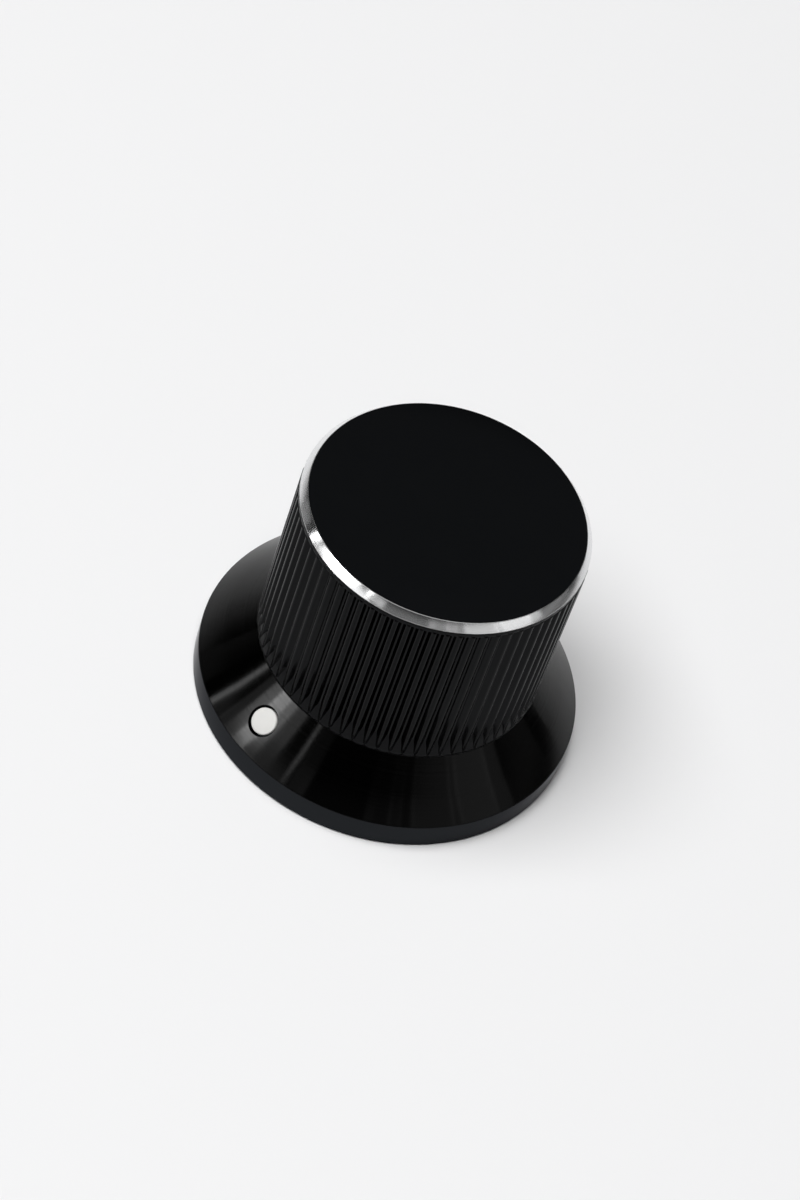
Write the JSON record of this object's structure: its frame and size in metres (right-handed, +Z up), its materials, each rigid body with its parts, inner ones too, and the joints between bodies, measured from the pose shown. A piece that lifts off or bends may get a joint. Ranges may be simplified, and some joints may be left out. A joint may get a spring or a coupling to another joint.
{
  "type": "control knob",
  "caption": "Skirted control knob with a straight-fluted grip, bright top bevel and white index dot; round shaft bore below, clamped by a radial set screw.",
  "frame": {"origin": "centre of the base ring, on the plane that the knob stands on", "axes": "+Z up the shaft axis towards the top face, the index dot towards -Y, the set screw entering from +Y"},
  "size_m": [0.03, 0.03, 0.0214],
  "materials": {
    "black_anodised_body": "black anodised, turned on the skirt, with a bright cut bevel round the top",
    "white_index": "white, smooth",
    "screw_steel": "blackened steel"
  },
  "bodies": {
    "root": {"knob_body": "black_anodised_body", "index_dot": "white_index", "set_screw": "screw_steel"}
  },
  "joints": []
}
